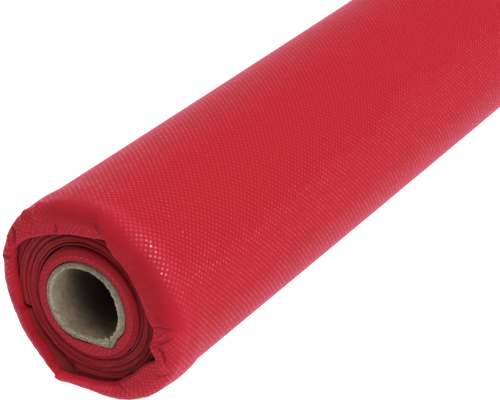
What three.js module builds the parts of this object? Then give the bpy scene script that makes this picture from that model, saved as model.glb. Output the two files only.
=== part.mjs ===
// Roll of garden fleece: red spun-bonded cloth wound tightly on a cardboard core.
// Millimetres, +Z up. The roll lies on its side with its axis along Y, and the opened end faces -Y.
// Angles are in degrees about the axis, from +X (0) through +Z (90), so the lowest line is at 270.
// Depths are measured along +Y from the core's near face. A negative depth stands out past it.

import * as THREE from 'three';

const { degToRad, lerp, clamp, euclideanModulo, smoothstep } = THREE.MathUtils;

// Driving sizes
const ROLL_LENGTH = 1000;
const ROLL_RADIUS = 51.46;
const CORE_RADIUS = 22;
const CORE_WALL = 3;
const CORE_CLEARANCE = 0.35;
const RIM_FRONT = -2.2;

// Turning grid, and how many of its steps on each side of the lowest line rest on the surface
const CLOTH_STEPS = 96;
const CORE_STEPS = 72;
const FLAT_HALF_STEPS = 2;
const LOWEST_ANGLE = 270;

// Places that follow from the driving sizes
const FAR_FACE = ROLL_LENGTH + RIM_FRONT;
const FLAT_HALF_ANGLE = FLAT_HALF_STEPS * 360 / CLOTH_STEPS;
const AXIS_HEIGHT = ROLL_RADIUS * Math.cos(degToRad(FLAT_HALF_ANGLE));

// The outermost turns stand past the others at the near end and are bent in over them.
// lip is the radius of that bent rim's free edge, and shoulder the radius of its bend.
const RIM_SECTIONS = [
  { angle: 0, lip: 38.3, shoulder: 10.0 },
  { angle: 12, lip: 35.3, shoulder: 10.0 },
  { angle: 26, lip: 34.9, shoulder: 10.0 },
  { angle: 42, lip: 35.4, shoulder: 10.0 },
  { angle: 55, lip: 36.6, shoulder: 9.8 },
  { angle: 70, lip: 41.0, shoulder: 9.4 },
  { angle: 80, lip: 37.9, shoulder: 9.0 },
  { angle: 90, lip: 36.0, shoulder: 8.4 },
  { angle: 112, lip: 36.0, shoulder: 6.4 },
  { angle: 134, lip: 39.0, shoulder: 5.6 },
  { angle: 154, lip: 42.9, shoulder: 8.6 },
  { angle: 165, lip: 41.2, shoulder: 12.0 },
  { angle: 187, lip: 37.7, shoulder: 15.4 },
  { angle: 197, lip: 39.2, shoulder: 16.8 },
  { angle: 204, lip: 37.5, shoulder: 17.0 },
  { angle: 222, lip: 39.5, shoulder: 15.8 },
  { angle: 236, lip: 41.4, shoulder: 13.6 },
  { angle: 246, lip: 45.0, shoulder: 9.2 },
  { angle: 255, lip: 43.6, shoulder: 11.4 },
  { angle: 266, lip: 40.6, shoulder: 14.6 },
  { angle: 290, lip: 40.3, shoulder: 9.8 },
  { angle: 313, lip: 38.2, shoulder: 8.4 },
  { angle: 328, lip: 38.4, shoulder: 8.6 },
  { angle: 337, lip: 41.4, shoulder: 9.0 },
  { angle: 345, lip: 37.5, shoulder: 9.4 },
];
const BEND_SHARES = [1, 0.78, 0.52, 0.28, 0.1];

// From its crest the rim's free edge curls in towards the inner turns, most at tuckAngle.
// Each share in LIP_CURVE is of the way from the crest to the free edge.
const LIP = { curl: 1.6, thickness: 1.1, depth: 0.75, tuck: 1.5, tuckAngle: 220 };
const LIP_CURVE = [
  { depthShare: 0.1, radiusShare: 0.55 },
  { depthShare: 0.45, radiusShare: 0.92 },
];
const POCKET = { width: 4.2, widest: 47.4, depthShare: 0.5 };

// The outer turns swell a little over the last stretch before the rim.
const SWELL = { height: 0.8, length: 28 };
const UNEVENNESS = [
  { height: 0.12, waves: 2, length: 140 },
  { height: 0.1, waves: 3, length: -90 },
];

// Ends of the groups of turns between the collar and the rim, each a low ring with a gap inside it.
// crest and floor are the depths of the ring and its gap. lift moves a ring's inner edge upwards.
const TURN_GROUPS = [
  { inner: 30.0, crest: 2.7, floor: 8.0, lift: 0.9 },
  { inner: 34.1, crest: 3.0, floor: 5.8, lift: 0.3 },
  { inner: 37.1, crest: 3.6, floor: 5.8, lift: 0 },
  { inner: 40.5, crest: 4.3, floor: 6.2, lift: 0 },
];
const GROUP_GAP = 0.7;
const GROUP_ROUNDING = 0.5;
const GROUP_LEAST_WIDTH = 1.1;

// Collar: the first turns on the core stand proud, with a flat face and a soft shoulder.
const COLLAR = { depth: 0.9, faceRadius: 26.4, bendDepth: 1.6, bendRadius: 28.1 };
const COLLAR_WALL = { depth: 3.2, radius: 28.9 };

// The cardboard core is pushed in below at its mouth, and pinched to a corner beside that.
const CORE_MOUTH = [
  { angle: 15, outer: 0.3, bore: -0.5 },
  { angle: 50, outer: 0.1, bore: -0.3 },
  { angle: 88, outer: -0.2, bore: -0.7 },
  { angle: 130, outer: 0, bore: 0 },
  { angle: 165, outer: 0.2, bore: 0.4 },
  { angle: 200, outer: 0.2, bore: 0.4 },
  { angle: 228, outer: 0.1, bore: 0 },
  { angle: 243, outer: -0.5, bore: -0.6 },
  { angle: 262, outer: -2.0, bore: -1.8 },
  { angle: 281, outer: -2.1, bore: -1.8 },
  { angle: 294, outer: -0.4, bore: -0.6 },
  { angle: 307, outer: 1.3, bore: 0.6 },
  { angle: 320, outer: -0.1, bore: 0.2 },
  { angle: 342, outer: 0.4, bore: 0.4 },
];
const MOUTH_DEPTHS = [0, 3, 7, 12, 18, 26, 38];
const MOUTH_FADE = 30;

// Depths of the rings of corners along the cloth's side and down its bore
const SIDE_DEPTHS = [960, 700, 450, 200, 90, 45, 28, 20];
const BORE_DEPTHS = [4, 7, 12, 18, 26, 38];
const FAR_EDGE_ROUNDING = 1.2;

// Value of one column of a table at any angle, running straight from row to row and round again
function around(table, column, angle) {
  const start = table[0].angle;
  const turned = euclideanModulo(angle - start, 360);
  const following = table.findIndex((row) => row.angle - start > turned);
  const next = following === -1 ? table.length : following;
  const from = table[next - 1];
  const to = table[next % table.length];
  const span = euclideanModulo(to.angle - from.angle, 360);
  const share = (turned - (from.angle - start)) / span;
  return lerp(from[column], to[column], share);
}

// Closed solid round the Y axis. sectionAt(angle) gives the same number of { depth, radius } corners
// at each angle, along the outside to the near end and back through the bore to the far end.
function ringSolid(sectionAt, steps, place) {
  const sections = [];
  for (let i = 0; i < steps; i += 1) {
    const angle = i * 360 / steps;
    sections.push(sectionAt(angle).map((corner) => place(corner, angle)));
  }
  const corners = sections[0].length;
  const index = [];
  for (let i = 0; i < steps; i += 1) {
    const here = i * corners;
    const beside = ((i + 1) % steps) * corners;
    for (let j = 0; j < corners; j += 1) {
      const next = (j + 1) % corners;
      index.push(here + j, beside + next, here + next);
      index.push(here + j, beside + j, beside + next);
    }
  }
  const geometry = new THREE.BufferGeometry();
  geometry.setAttribute('position', new THREE.Float32BufferAttribute(sections.flat(2), 3));
  geometry.setIndex(index);
  geometry.computeVertexNormals();
  return geometry;
}

function onAxis({ depth, radius }, angle) {
  const turn = degToRad(angle);
  return [radius * Math.cos(turn), depth, radius * Math.sin(turn)];
}

// Core tube

function mouthOffset(column, angle, depth) {
  return around(CORE_MOUTH, column, angle) * (1 - smoothstep(depth, 0, MOUTH_FADE));
}

function coreOuterRadius(angle, depth) {
  return CORE_RADIUS + mouthOffset('outer', angle, depth);
}

function coreBoreRadius(angle, depth) {
  return CORE_RADIUS - CORE_WALL + mouthOffset('bore', angle, depth);
}

function coreSection(angle) {
  const depths = [...MOUTH_DEPTHS, FAR_FACE];
  const inside = depths.map((depth) => ({ depth, radius: coreBoreRadius(angle, depth) }));
  const outside = depths.map((depth) => ({ depth, radius: coreOuterRadius(angle, depth) }));
  return [...outside.reverse(), ...inside];
}

// Wound cloth

function outsideRadius(angle, depth) {
  const swelling = SWELL.height * Math.sin(Math.PI * clamp(depth / SWELL.length, 0, 1)) ** 2;
  const turn = degToRad(angle);
  const heights = UNEVENNESS.map((wave) => wave.height * Math.sin(wave.waves * turn + depth / wave.length));
  return heights.reduce((sum, height) => sum + height, ROLL_RADIUS + swelling);
}

// The cloth's bore clears the core, also where the core's mouth is pushed in.
function boreCorner(angle, depth) {
  return { depth, radius: Math.max(CORE_RADIUS, coreOuterRadius(angle, depth)) + CORE_CLEARANCE };
}

function sideCorners(angle) {
  const farRadius = outsideRadius(angle, FAR_FACE);
  return [
    boreCorner(angle, FAR_FACE),
    { depth: FAR_FACE, radius: farRadius - FAR_EDGE_ROUNDING },
    { depth: FAR_FACE - FAR_EDGE_ROUNDING, radius: farRadius },
    ...SIDE_DEPTHS.map((depth) => ({ depth, radius: outsideRadius(angle, depth) })),
  ];
}

// The round bend from the side to the rim's front, and the crest where the free edge starts to curl
function bendCorners(angle, crestRadius) {
  const shoulder = around(RIM_SECTIONS, 'shoulder', angle);
  const outside = outsideRadius(angle, RIM_FRONT + shoulder);
  const depthAt = (turn) => RIM_FRONT + shoulder * (1 - Math.cos(turn));
  const crestTurn = Math.asin(clamp(1 - (outside - crestRadius) / shoulder, 0, 1));
  const bend = BEND_SHARES.map((share) => {
    const turn = lerp(crestTurn, Math.PI / 2, share);
    return { depth: depthAt(turn), radius: outside - shoulder * (1 - Math.sin(turn)) };
  });
  return [...bend, { depth: depthAt(crestTurn), radius: crestRadius }];
}

// The curled free edge and the shallow pocket behind it
function lipCorners(angle, lip, crest) {
  const edgeDepth = LIP.depth + LIP.tuck * Math.cos(degToRad(angle - LIP.tuckAngle));
  const curve = LIP_CURVE.map(({ depthShare, radiusShare }) => ({
    depth: lerp(crest.depth, edgeDepth, depthShare),
    radius: lerp(crest.radius, lip, radiusShare),
  }));
  return [
    ...curve,
    { depth: edgeDepth, radius: lip },
    { depth: edgeDepth, radius: lip + LIP.thickness },
    {
      depth: lerp(crest.depth, edgeDepth, POCKET.depthShare) + LIP.thickness,
      radius: Math.min(lip + POCKET.width, POCKET.widest),
    },
  ];
}

// The low rings of turn ends, from the pocket inwards. Each keeps a least width where the lip is long.
function groupCorners(angle, pocketRadius) {
  const corners = [];
  let outer = pocketRadius;
  for (const group of [...TURN_GROUPS].reverse()) {
    const lifted = group.inner + group.lift * Math.sin(degToRad(angle));
    const inner = Math.min(lifted, outer - GROUP_LEAST_WIDTH);
    corners.push(
      { depth: group.crest + GROUP_ROUNDING, radius: outer },
      { depth: group.crest, radius: outer - GROUP_ROUNDING },
      { depth: group.crest, radius: inner + GROUP_ROUNDING },
      { depth: group.crest + GROUP_ROUNDING, radius: inner },
      { depth: group.floor, radius: inner },
    );
    outer = inner - GROUP_GAP;
  }
  return corners;
}

function collarCorners(angle) {
  return [
    { depth: TURN_GROUPS[0].floor, radius: COLLAR_WALL.radius },
    COLLAR_WALL,
    { depth: COLLAR.bendDepth, radius: COLLAR.bendRadius },
    { depth: COLLAR.depth, radius: COLLAR.faceRadius },
    boreCorner(angle, COLLAR.depth),
  ];
}

function clothSection(angle) {
  const lip = around(RIM_SECTIONS, 'lip', angle);
  const bend = bendCorners(angle, lip + LIP.curl);
  const rim = lipCorners(angle, lip, bend.at(-1));
  return [
    ...sideCorners(angle),
    ...bend,
    ...rim,
    ...groupCorners(angle, rim.at(-1).radius),
    ...collarCorners(angle),
    ...BORE_DEPTHS.map((depth) => boreCorner(angle, depth)),
  ];
}

// The lowest strip of the side lies flat, and nothing reaches below it.
function restOnSurface(corner, angle) {
  const [x, y, z] = onAxis(corner, angle);
  const isSide = corner.radius > ROLL_RADIUS - FAR_EDGE_ROUNDING / 2 && corner.depth > SWELL.length / 2;
  const isLowest = Math.abs(angle - LOWEST_ANGLE) <= FLAT_HALF_ANGLE;
  return [x, y, isSide && isLowest ? -AXIS_HEIGHT : Math.max(z, -AXIS_HEIGHT)];
}

const clothMaterial = new THREE.MeshStandardMaterial({ color: 0xc32832, roughness: 0.85, metalness: 0 });
const boardMaterial = new THREE.MeshStandardMaterial({ color: 0x918976, roughness: 0.95, metalness: 0 });

const cloth = new THREE.Mesh(ringSolid(clothSection, CLOTH_STEPS, restOnSurface), clothMaterial);
cloth.name = 'fleece_roll';

const core = new THREE.Mesh(ringSolid(coreSection, CORE_STEPS, onAxis), boardMaterial);
core.name = 'core_tube';

const roll = new THREE.Group();
roll.add(cloth, core);
roll.position.set(0, -ROLL_LENGTH / 2 - RIM_FRONT, AXIS_HEIGHT);

export default roll;
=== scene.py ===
# %% [markdown]
# # A roll of garden fleece
# The object is one long length of red spun-bonded cloth, wound tightly on a cardboard core. It lies on
# its side. At the near end the outermost turns stand past the others and are bent in over them, so that
# the core and the edges of the inner turns show through an uneven round opening.
#
# The solids come from the packed model. They hold the right sizes and the right outline, but their
# surface is coarse. This lesson builds the fine surfaces over them, piece by piece.

# %% Load the solids
import math

import bpy
import numpy as np
from mathutils import Matrix, Vector


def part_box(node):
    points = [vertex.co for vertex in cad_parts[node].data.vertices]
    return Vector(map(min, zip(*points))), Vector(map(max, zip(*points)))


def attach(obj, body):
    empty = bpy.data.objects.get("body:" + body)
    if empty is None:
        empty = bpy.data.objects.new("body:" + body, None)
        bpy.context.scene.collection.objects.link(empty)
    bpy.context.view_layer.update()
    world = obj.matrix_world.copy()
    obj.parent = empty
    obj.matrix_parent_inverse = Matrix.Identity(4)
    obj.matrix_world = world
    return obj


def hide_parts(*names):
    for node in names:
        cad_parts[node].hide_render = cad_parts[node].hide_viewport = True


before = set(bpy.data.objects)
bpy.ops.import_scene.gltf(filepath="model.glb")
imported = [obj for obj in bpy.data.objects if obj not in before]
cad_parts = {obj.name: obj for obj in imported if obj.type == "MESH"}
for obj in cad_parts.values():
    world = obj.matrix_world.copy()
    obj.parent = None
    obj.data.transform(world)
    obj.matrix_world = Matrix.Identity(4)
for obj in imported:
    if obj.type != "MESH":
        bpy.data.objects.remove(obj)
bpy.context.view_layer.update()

# %% [markdown]
# Every place follows from the two solids. The core gives the axis and the two end faces, and the cloth
# gives the front of the bent rim. Sizes are easier to think about in millimetres, so the tables below
# use them. Depths run along the axis from the core's near face, and a negative depth stands out past it.
# Angles go round the axis in degrees, from the right (0) over the top (90).

# %% Places taken from the solids
MM = 0.001
FLAT_HALF_ANGLE = 7.5

core_low, core_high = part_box("core_tube")
cloth_low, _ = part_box("fleece_roll")
near_face = core_low.y
axis_height = (core_low.z + core_high.z) / 2
core_radius = (core_high.z - core_low.z) / 2 / MM
far_depth = (core_high.y - near_face) / MM
rim_front = (cloth_low.y - near_face) / MM
roll_radius = axis_height / math.cos(math.radians(FLAT_HALF_ANGLE)) / MM
print(f"roll radius {roll_radius:.2f} mm, core radius {core_radius:.2f} mm, far face at {far_depth:.1f} mm")

# %% [markdown]
# A wound roll is a set of rings. Each ring is one row of a grid, and each step round the axis is one
# column, so numpy can work out a whole row at once. A table gives a measure at a few angles only. In
# between, the measure runs straight from entry to entry, and its corners are eased over a degree or two.

# %% Work round the axis in steps
CLOTH_STEPS = 540
EASE_DEGREES = 1.4


def step_angles(steps):
    """Angle of each step round the axis, in degrees"""
    return np.arange(steps) * 360 / steps


def around(rows, column, steps, ease=EASE_DEGREES):
    """One column of a table at every step round the axis"""
    table = np.array(rows, float)
    values = np.interp(step_angles(steps), table[:, 0], table[:, column], period=360)
    reach = max(1, round(ease * steps / 360))
    weights = np.hanning(2 * reach + 3)[1:-1]
    wrapped = np.concatenate([values[-reach:], values, values[:reach]])
    return np.convolve(wrapped, weights / weights.sum(), "valid")


def smoothstep(value, low, high):
    """0 below low, 1 above high, and a soft rise in between"""
    share = np.clip((value - low) / (high - low), 0, 1)
    return share * share * (3 - 2 * share)


def place(depth, radius, degrees):
    """Positions in millimetres, from the core's near face and its axis"""
    turn = np.radians(degrees)
    depth, radius, turn = np.broadcast_arrays(depth, radius, turn)
    return np.stack([radius * np.cos(turn), depth, radius * np.sin(turn)], axis=-1)


print("steps round the cloth:", CLOTH_STEPS)

# %% [markdown]
# ## The bent rim
# The opening isn't round. Its free edge, the lip, lies 35 to 45 mm from the axis, and the bend from the
# side to the front is tight at the top and slack at the lower left. The table follows the one that the
# solids were made from, with a few finer entries, so the fine surface lies on them.

# %% Table of the bent rim
# Columns: angle, radius of the lip, radius of the bend
RIM_SECTIONS = [
    (0, 38.6, 10.0),
    (12, 35.3, 10.0),
    (26, 34.9, 10.0),
    (42, 35.4, 10.0),
    (53.5, 36.7, 9.8),
    (61, 39.0, 9.6),
    (65.5, 41.1, 9.5),
    (70, 40.7, 9.4),
    (79, 37.9, 9.0),
    (90, 36.2, 8.4),
    (108, 35.8, 6.8),
    (122, 36.8, 6.0),
    (134, 39.0, 5.6),
    (146, 42.0, 7.2),
    (154, 43.4, 9.6),
    (166, 41.0, 12.8),
    (180, 38.6, 14.6),
    (190, 38.2, 15.8),
    (197.5, 39.0, 16.8),
    (200.5, 37.2, 17.0),
    (208, 38.2, 16.8),
    (217, 39.0, 16.0),
    (229, 38.6, 15.0),
    (238, 41.0, 12.8),
    (244, 43.9, 10.4),
    (248.4, 45.1, 9.6),
    (258, 42.0, 11.8),
    (267, 40.4, 14.4),
    (290, 39.9, 11.0),
    (303, 38.8, 9.8),
    (316, 38.4, 8.4),
    (327, 38.8, 8.6),
    (334, 41.0, 8.9),
    (338.5, 43.4, 9.0),
    (341, 40.0, 9.2),
    (345, 37.8, 9.4),
    (351, 38.2, 9.6),
]
CURL = 1.5
CURL_LEFT = 0.5
CLOTH_EDGE = 0.75
RIM_THICKNESS = 1.0
LIP_DEPTH = 0.5
LIP_TUCK = 1.3
LIP_TUCK_ANGLE = 200
SWELL_HEIGHT = 0.8
SWELL_LENGTH = 28
# Columns: waves round the axis, height, depth over which a wave turns by one radian
UNEVEN_WAVES = [(2, 0.12, 140), (3, 0.1, -90)]
# The roll is a little fuller at the lower right, most of all where the rim starts to bend. There the
# fullness rises between two depths, and is lost again between two others.
FULL_ANGLE = 314
FULL_SPREAD = 20
FULL_SIDE = 0.75
FULL_RIM = 1.0
FULL_RISE = (9, 24)
FULL_FALL = (31, 26.5)

angles = step_angles(CLOTH_STEPS)
lip = around(RIM_SECTIONS, 1, CLOTH_STEPS)
shoulder = around(RIM_SECTIONS, 2, CLOTH_STEPS, ease=4)
lip_depth = LIP_DEPTH + LIP_TUCK * np.cos(np.radians(angles - LIP_TUCK_ANGLE))
to_left = smoothstep(np.cos(np.radians(angles - LIP_TUCK_ANGLE)), 0.35, 0.75)
curl = CURL + CURL_LEFT * to_left


def outside_radius(depth):
    """Radius of the roll's side at a depth, with the swell behind the rim and a slight unevenness"""
    swell = SWELL_HEIGHT * np.sin(np.pi * np.clip(depth / SWELL_LENGTH, 0, 1)) ** 2
    turn = np.radians(angles)
    uneven = sum(rise * np.sin(waves * turn + depth / twist) for waves, rise, twist in UNEVEN_WAVES)
    fullness = FULL_SIDE + FULL_RIM * smoothstep(depth, *FULL_RISE) * smoothstep(depth, *FULL_FALL)
    fuller = fullness * np.exp(-((angles - FULL_ANGLE) / FULL_SPREAD) ** 2)
    return roll_radius + swell + uneven + fuller


bend_radius = outside_radius(rim_front + shoulder)
crest = lip + curl
crest_turn = np.arcsin(np.clip(1 - (bend_radius - crest) / shoulder, 0, 1))
flat_width = np.maximum(0, bend_radius - shoulder - crest)
print(f"lip {lip.min():.1f} to {lip.max():.1f} mm, bend {shoulder.min():.1f} to {shoulder.max():.1f} mm")

# %% [markdown]
# The rings run from the far end along the side, round the bend, over the front, round the lip, back
# under the rim, down into the recess, up the collar and back through the bore. The bend and the front
# are cut at equal steps along the cloth, so no ring runs into the next one where the front is narrow.

# %% Rings of the cloth, from the far end to the bore
BORE_GAP = 0.35
FAR_INSET = 0.8
# Columns: distance inside the far face, distance inside the side
FAR_EDGE = [(FAR_INSET, 1.3), (0.15, 1.1), (0, 0.8), (0.2, 0.25), (0.8, 0)]
# Depths of the rings along the near part of the side
NEAR_SIDE = [48, 41, 37.5, 36, 34.5, 32.5, 31, 30, 28.8, 28.1, 27.5, 26.9, 26.2, 25]
POCKET_RADIUS = 47.6
RECESS_DEPTH = 10
COLLAR_RADIUS = 28.3
COLLAR_FACE = 26.0
COLLAR_DEPTH = 0.9
COLLAR_DROP = 0.95
SHOULDER_DEPTH = 2.1
GROOVE_DEPTH = 0.5
# Columns: distance of each groove outside the collar's face, half its width
GROOVES = [(0.16, 0.13), (0.85, 0.12), (1.5, 0.12)]
# Stretches round the axis: middle angle, degrees from it that are whole, degrees where it is lost
LOOSE_GROOVES = (290, 50, 90)
PRESSED_GROOVES = (185, 25, 55)
WIDE_MOUTH = (250, 14, 34)
# Gap between the cloth and the core at the mouth, and how much wider it gets below
MOUTH_GAP = 0.35
MOUTH_WIDER = 0.6
# Columns: angle, radius at the foot of the rim's inner wall
WALL_FOOT = [
    (195, 35.5), (205, 35.2), (217, 36.5), (228, 37.4), (239, 39.4), (246, 40.8),
    (251, 41.7), (256, 42.1), (263, 41.4), (270, 40.8), (278, 40.4), (290, 40.2),
]
WALL_ANGLE = 226.5
WALL_INNER, WALL_OUTER = 23.5, 29.5
LOW_WALL_ANGLE = 265
LOW_WALL_INNER, LOW_WALL_OUTER = 21, 28
WALL_DEPTH = 4.4

# Columns: angle, how far the core's outer face and its bore stand out of round at the mouth
CORE_MOUTH = [
    (15, -0.9, -1.3),
    (50, -0.7, -0.8),
    (88, -1.1, -0.8),
    (130, -0.5, -0.1),
    (165, 0.1, 0.4),
    (200, 0.2, 0.4),
    (228, 0.1, 0),
    (243, -0.5, -0.6),
    (262, -2.0, -1.8),
    (281, -2.1, -1.8),
    (294, -0.4, -0.6),
    (307, 1.5, 0.4),
    (320, -0.6, -0.3),
    (340, 0.2, -0.5),
]
MOUTH_FADE = 30


def mouth_offset(column, depth, steps):
    """How far the core is out of round at a depth. The dent fades out inside the roll."""
    return around(CORE_MOUTH, column, steps) * (1 - smoothstep(depth, 0, MOUTH_FADE))


def cloth_bore(depth):
    """Radius of the cloth's bore, which follows the core where its mouth is out of round"""
    return core_radius + BORE_GAP + mouth_offset(1, depth, CLOTH_STEPS)


def bend_point(distance):
    """Depth and radius at a distance along the cloth from the crest outwards"""
    turn = crest_turn + np.maximum(0, distance - flat_width) / shoulder
    depth = rim_front + shoulder * (1 - np.cos(turn))
    on_bend = bend_radius - shoulder * (1 - np.sin(turn))
    return depth, np.where(distance < flat_width, crest + distance, on_bend)


def under_rim(radius):
    """Depth of the rim's inner side at a radius"""
    centre = bend_radius - shoulder
    reach = np.clip((radius - centre) / (shoulder - RIM_THICKNESS), 0, 0.995)
    return rim_front + shoulder - (shoulder - RIM_THICKNESS) * np.sqrt(1 - reach ** 2)


def facing(middle, inner, outer):
    """1 within inner degrees of the middle angle, and 0 beyond outer degrees"""
    away = np.abs((angles - middle + 180) % 360 - 180)
    return smoothstep(away, outer, inner)


high_wall = facing(WALL_ANGLE, WALL_INNER, WALL_OUTER)
walled = np.maximum(high_wall, facing(LOW_WALL_ANGLE, LOW_WALL_INNER, LOW_WALL_OUTER))
wall_foot = around(WALL_FOOT, 1, CLOTH_STEPS)
drop = COLLAR_DROP * np.sin(np.radians(angles))
collar_outside = COLLAR_RADIUS - 0.7 * drop
collar_face = COLLAR_FACE - drop
loose = (0.4 + 0.6 * facing(*LOOSE_GROOVES)) * (1 - 0.9 * facing(*PRESSED_GROOVES))
core_gap = MOUTH_GAP + MOUTH_WIDER * facing(*WIDE_MOUTH)


def down_wall(share, depth, radius):
    """Depth and radius behind the lip: the given ones, or at the left those of a wall down to its foot"""
    wall_depth = lip_depth + 0.1 + WALL_DEPTH * share
    wall_radius = lip + 0.35 * (1 - math.exp(-share / 0.08)) + (wall_foot - lip) * share ** 1.1
    return depth + (wall_depth - depth) * walled, radius + (wall_radius - radius) * walled


rings = []


def ring(kind, depth, radius):
    """Keeps one ring, with the part of the cloth that it belongs to"""
    rings.append((kind, depth + np.zeros(CLOTH_STEPS), radius + np.zeros(CLOTH_STEPS)))


far_radius = outside_radius(far_depth)
ring("far", far_depth - FAR_INSET, cloth_bore(far_depth))
for inset, inwards in FAR_EDGE:
    ring("far", far_depth - inset, far_radius - inwards)
for depth in [*np.linspace(far_depth - 6, 60, 30), *NEAR_SIDE]:
    ring("side", depth, outside_radius(depth))
side_end = NEAR_SIDE[-1]
for share in np.linspace(0, 1, 9)[1:]:
    depth = side_end + (rim_front + shoulder - side_end) * share
    ring("side", depth, outside_radius(depth))
bend_length = flat_width + shoulder * (math.pi / 2 - crest_turn)
for share in np.linspace(1, 0, 38)[1:]:
    ring("bend", *bend_point(bend_length * share))
crest_depth = bend_point(0 * lip)[0]
for turn in np.radians([18, 36, 52, 66, 78, 90]):
    ring("lip", crest_depth + (lip_depth - crest_depth) * (1 - math.cos(turn)), crest - curl * math.sin(turn))
for share, deeper, wider in [(0.02, 0.18, 0.1), (0.05, 0.24, 0.4), (0.09, 0.1, CLOTH_EDGE)]:
    ring("edge", *down_wall(share, lip_depth + deeper, lip + wider))
inner_crest = crest_depth + RIM_THICKNESS
for share, turned in [(0.14, 25), (0.2, 50), (0.28, 72)]:
    turned = math.radians(turned)
    depth = inner_crest + (lip_depth - inner_crest) * math.cos(turned)
    ring("under", *down_wall(share, depth, lip + CLOTH_EDGE + curl * (1 - math.cos(turned))))
pocket_start = lip + CLOTH_EDGE + curl + 0.4
for share in np.linspace(0, 1, 7):
    radius = pocket_start + (POCKET_RADIUS - pocket_start) * share
    depth = np.maximum(under_rim(radius), inner_crest)
    ring("under", *down_wall(0.38 + 0.62 * share, depth, radius))
foot = POCKET_RADIUS + 0.3 + (wall_foot - POCKET_RADIUS) * walled
for depth in [7.2, RECESS_DEPTH - 0.3]:
    ring("recess", depth, foot)
for share in np.linspace(0.03, 0.97, 4):
    ring("recess", RECESS_DEPTH, foot + (collar_outside - foot) * share)
for depth in [9, 6, 4, COLLAR_DEPTH + 0.2 + SHOULDER_DEPTH]:
    ring("wall", depth, collar_outside)
for share in np.linspace(1, 0, 25)[1:]:
    outwards = (collar_outside - collar_face) * share
    depth = COLLAR_DEPTH + 0.2 + SHOULDER_DEPTH * (1 - math.sqrt(1 - share ** 2))
    for distance, half_width in GROOVES:
        depth = depth + GROOVE_DEPTH * loose * np.exp(-((outwards - distance) / half_width) ** 2)
    ring("wall", depth, collar_face + outwards)
ring("collar", COLLAR_DEPTH + 0.1, collar_face - 0.2)
for share in np.linspace(0, 1, 7):
    inner = cloth_bore(COLLAR_DEPTH) + core_gap
    ring("collar", COLLAR_DEPTH, collar_face - 0.5 + (inner - collar_face + 0.5) * share)
ring("bore", COLLAR_DEPTH + 0.12, cloth_bore(COLLAR_DEPTH) + core_gap - 0.15)
ring("bore", COLLAR_DEPTH + 2.6, cloth_bore(COLLAR_DEPTH) + (core_gap - MOUTH_GAP) * 0.9)
for depth in [7, 12, 18, 26, 38, 300]:
    ring("bore", depth, cloth_bore(depth))

kinds = np.array([kind for kind, _, _ in rings])
ring_depth = np.array([depth for _, depth, _ in rings])
ring_radius = np.array([radius for _, _, radius in rings])
cloth = place(ring_depth, ring_radius, angles)
print("rings of cloth:", len(rings), "of them on the bend:", int((kinds == "bend").sum()))

# %% [markdown]
# ## Creases
# Cloth that is bent in over a smaller circle has too much edge, so it gathers, folds over itself and
# wrinkles. Each crease below is a line on the front, given by its radius and angle, with a height that
# is negative for a trough. A fold lifts one side of its line and falls away from it over a distance.
# The surface moves along its own normal by these heights.
#
# A cloth simulation could make wrinkles too, but never these ones, at these places.

# %% Tables of the creases
# Soft creases: height, width, then points as (radius, angle)
SOFT_CREASES = [
    (-0.8, 0.7, [(42.6, 109.0), (39.8, 108.8), (37.0, 111.8)]),
    (-1.3, 0.8, [(49.6, 167.0), (46.0, 162.7), (42.0, 157.2)]),
    (0.7, 1.1, [(47.6, 159.5), (45.0, 158.0), (43.4, 154.6)]),
    (-1.3, 0.8, [(50.8, 144.0), (47.0, 142.6), (45.0, 147.6), (42.6, 151.4)]),
    (0.6, 1.2, [(50.2, 150.0), (46.2, 153.7), (43.8, 152.8)]),
    (-0.6, 0.8, [(39.2, 3.0), (43.4, 3.8), (45.7, 3.2), (48.4, 2.7)]),
    (-0.7, 0.9, [(41.4, 350.0), (44.6, 354.0), (47.6, 356.7)]),
    (0.4, 1.0, [(40.4, 354.6), (44.6, 358.4)]),
    (-0.8, 0.7, [(41.3, 348.6), (42.8, 348.0), (44.6, 346.8), (45.9, 343.4), (47.3, 340.0)]),
    (-0.7, 0.8, [(44.5, 331.0), (47.2, 328.5), (48.9, 330.3), (50.5, 332.0)]),
    (-0.7, 0.8, [(38.5, 296.5), (40.9, 299.3), (43.8, 300.7)]),
    (0.35, 1.2, [(39.0, 301.0), (45.4, 305.4)]),
    (-0.4, 0.8, [(42.0, 184.6), (41.0, 190.9), (40.2, 196.0)]),
    (-0.35, 0.9, [(43.0, 226.0), (47.0, 229.5)]),
    (-0.3, 0.8, [(42.4, 273.0), (45.6, 276.5)]),
    (-0.3, 0.8, [(40.0, 313.0), (44.0, 316.5)]),
    (-0.3, 0.7, [(38.0, 88.5), (42.0, 87.0)]),
    (-0.3, 0.9, [(40.2, 127.0), (46.8, 125.0)]),
    (0.9, 2.2, [(46.0, 120.4), (50.6, 120.0), (52.4, 119.8)]),
    (0.8, 2.0, [(46.8, 131.4), (51.0, 131.0), (52.4, 130.8)]),
    (-0.6, 6.0, [(50.0, 250.0), (50.0, 284.0)]),
    (-0.6, 5.0, [(50.5, 218.0), (51.0, 238.0)]),
]
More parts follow.
